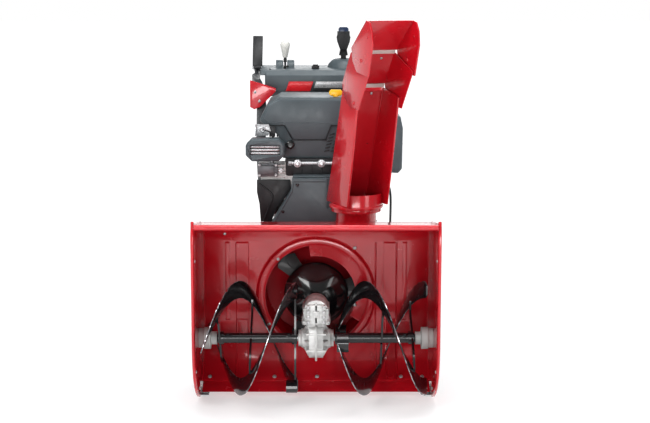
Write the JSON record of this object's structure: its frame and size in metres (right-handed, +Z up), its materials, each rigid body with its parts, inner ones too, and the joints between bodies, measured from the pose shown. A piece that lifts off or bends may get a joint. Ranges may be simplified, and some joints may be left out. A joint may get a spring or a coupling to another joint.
{
  "type": "two stage snowblower",
  "caption": "Walk-behind two stage snowblower with open auger housing, turning discharge chute, engine, drive wheels and rear control console.",
  "frame": {"origin": "on the ground, at the middle of the machine's overall length and width", "axes": "+Z up, the machine faces -Y so its handles are at +Y, +X to the right of a viewer who stands in front of it"},
  "size_m": [0.742, 1.4799, 1.178],
  "materials": {
    "red_paint": "gloss",
    "black_paint": "gloss",
    "dark_paint": "satin",
    "auger_paint": "gloss, worn to bare steel along the edges",
    "cast_aluminium": "as cast",
    "dark_alloy": "as cast, dark",
    "steel": "machined",
    "zinc_steel": "plated",
    "bronze": "machined",
    "charcoal_plastic": "fine grain, satin",
    "black_plastic": "fine grain",
    "pale_plastic": "satin",
    "bearing_grey": "satin",
    "yellow_plastic": "satin",
    "navy_plastic": "satin",
    "red_plastic": "satin",
    "tyre": "matt",
    "grip_rubber": "matt"
  },
  "bodies": {
    "chassis": {"auger_housing": "red_paint", "side_plate_left": "red_paint", "side_plate_right": "red_paint", "bearing_left": "bearing_grey", "bearing_right": "bearing_grey", "skid_shoe_left": "black_paint", "skid_shoe_right": "black_paint", "scraper_bar": "red_paint", "gearbox_case": "cast_aluminium", "impeller_drum": "red_paint", "auger_belt": "grip_rubber", "chassis_frame": "black_paint", "transmission_case": "dark_alloy", "axle": "steel", "engine_block": "cast_aluminium", "engine_cover": "charcoal_plastic", "belt_cover": "charcoal_plastic", "muffler_guard": "charcoal_plastic", "muffler": "zinc_steel", "electric_starter": "black_paint", "fuel_tank": "charcoal_plastic", "recoil_cover": "black_plastic", "handle_left": "dark_paint", "handle_right": "dark_paint", "gusset_left": "red_paint", "gusset_right": "red_paint", "grip_left": "grip_rubber", "grip_right": "grip_rubber", "console": "charcoal_plastic", "chute_cable": "black_plastic"},
    "augers": {"auger_shaft": "steel", "auger_left": "auger_paint", "auger_right": "auger_paint", "worm_wheel": "bronze"},
    "impeller": {"impeller": "black_paint", "impeller_shaft": "steel", "impeller_pulley": "dark_alloy"},
    "crank": {"crankshaft": "steel"},
    "wheel_left": {"tyre_left": "tyre", "rim_left": "red_paint"},
    "wheel_right": {"tyre_right": "tyre", "rim_right": "red_paint"},
    "chute": {"chute_ring": "red_paint", "chute_lower": "red_paint"},
    "deflector_lower": {"deflector_lower": "red_paint"},
    "deflector_upper": {"deflector_upper": "red_paint"},
    "joystick_gimbal": {"joystick_gimbal": "steel"},
    "joystick": {"joystick": "black_plastic"},
    "joystick_trigger": {"joystick_trigger": "navy_plastic"},
    "shift": {"shift_lever": "black_paint", "shift_knob": "pale_plastic"},
    "traction_lever": {"traction_lever": "black_plastic"},
    "auger_lever": {"auger_lever": "black_plastic"},
    "oil_cap": {"oil_cap": "yellow_plastic"},
    "fuel_cap": {"fuel_cap": "black_plastic"},
    "ignition_key": {"ignition_key": "red_plastic"},
    "primer_button": {"primer_button": "red_plastic"},
    "choke_knob": {"choke_knob": "black_plastic"},
    "starter_handle": {"starter_handle": "black_plastic"}
  },
  "joints": [
    {"name": "impeller_turn", "type": "hinge", "parent": "chassis", "child": "impeller", "pos_m": [0, -0.3, 0.298], "axis": [0, 1, 0], "continuous": true},
    {"name": "auger_turn", "type": "hinge", "parent": "chassis", "child": "augers", "pos_m": [0, -0.564, 0.207], "axis": [1, 0, 0], "continuous": true},
    {"name": "crank_turn", "type": "hinge", "parent": "chassis", "child": "crank", "pos_m": [0, 0, 0.585], "axis": [0, 1, 0], "continuous": true},
    {"name": "wheel_left_turn", "type": "hinge", "parent": "chassis", "child": "wheel_left", "pos_m": [-0.236, -0.08, 0.203], "axis": [1, 0, 0], "continuous": true},
    {"name": "wheel_right_turn", "type": "hinge", "parent": "chassis", "child": "wheel_right", "pos_m": [0.236, -0.08, 0.203], "axis": [1, 0, 0], "continuous": true},
    {"name": "chute_turn", "type": "hinge", "parent": "chassis", "child": "chute", "pos_m": [0.13, -0.299, 0.588], "axis": [0, 0, 1], "range_deg": [-125, 75]},
    {"name": "deflector_lower_tilt", "type": "hinge", "parent": "chute", "child": "deflector_lower", "pos_m": [0.18579, -0.41863, 0.923], "axis": [0.9063, 0.4226, 0], "range_deg": [-8, 15]},
    {"name": "deflector_upper_tilt", "type": "hinge", "parent": "deflector_lower", "child": "deflector_upper", "pos_m": [0.20987, -0.47029, 1.056], "axis": [0.9063, 0.4226, 0], "range_deg": [-8, 15]},
    {"name": "joystick_swing", "type": "hinge", "parent": "chassis", "child": "joystick_gimbal", "pos_m": [0.103, 0.44, 0.985], "axis": [0, 1, 0], "range_deg": [-15, 9]},
    {"name": "joystick_tilt", "type": "hinge", "parent": "joystick_gimbal", "child": "joystick", "pos_m": [0.103, 0.44, 0.985], "axis": [1, 0, 0], "range_deg": [-8, 15]},
    {"name": "trigger_press", "type": "slide", "parent": "joystick", "child": "joystick_trigger", "axis": [0, 0, -1], "range_m": [0, 0.004], "stiffness_N_per_m": 400, "springref_m": -0.002},
    {"name": "shift_lever_swing", "type": "hinge", "parent": "chassis", "child": "shift", "pos_m": [-0.116, 0.44, 0.925], "axis": [1, 0, 0], "range_deg": [-25, 30]},
    {"name": "traction_lever_squeeze", "type": "hinge", "parent": "chassis", "child": "traction_lever", "pos_m": [-0.228, 0.61195, 0.97399], "axis": [-1, 0, 0], "range_deg": [0, 8], "stiffness_Nm_per_rad": 3, "springref_deg": -8.59},
    {"name": "auger_lever_squeeze", "type": "hinge", "parent": "chassis", "child": "auger_lever", "pos_m": [0.228, 0.61195, 0.97399], "axis": [-1, 0, 0], "range_deg": [0, 8], "stiffness_Nm_per_rad": 3, "springref_deg": -8.59},
    {"name": "oil_cap_turn", "type": "hinge", "parent": "chassis", "child": "oil_cap", "pos_m": [0.066, -0.105, 0.93], "axis": [0, 0, 1], "range_deg": [0, 90]},
    {"name": "fuel_cap_turn", "type": "hinge", "parent": "chassis", "child": "fuel_cap", "pos_m": [0.244, 0.11, 0.866], "axis": [0, 0, 1], "range_deg": [0, 120]},
    {"name": "key_pull", "type": "slide", "parent": "chassis", "child": "ignition_key", "axis": [0, 1, 0], "range_m": [0, 0.012]},
    {"name": "choke_turn", "type": "hinge", "parent": "chassis", "child": "choke_knob", "pos_m": [0.06, 0.137, 0.78], "axis": [0, 1, 0], "range_deg": [0, 90]},
    {"name": "primer_press", "type": "slide", "parent": "chassis", "child": "primer_button", "axis": [0, -1, 0], "range_m": [0, 0.006], "stiffness_N_per_m": 400, "springref_m": -0.002},
    {"name": "starter_pull", "type": "slide", "parent": "chassis", "child": "starter_handle", "axis": [0, 1, 0], "range_m": [0, 0.4], "stiffness_N_per_m": 60, "springref_m": -0.05}
  ],
  "couplings": [
    {"joint": "auger_turn", "follows": "impeller_turn", "ratio": 0.0625},
    {"joint": "crank_turn", "follows": "impeller_turn", "ratio": 2.9},
    {"joint": "deflector_upper_tilt", "follows": "deflector_lower_tilt", "ratio": 1},
    {"joint": "joystick_swing", "follows": "chute_turn", "ratio": 0.12},
    {"joint": "joystick_tilt", "follows": "deflector_lower_tilt", "ratio": 1}
  ]
}
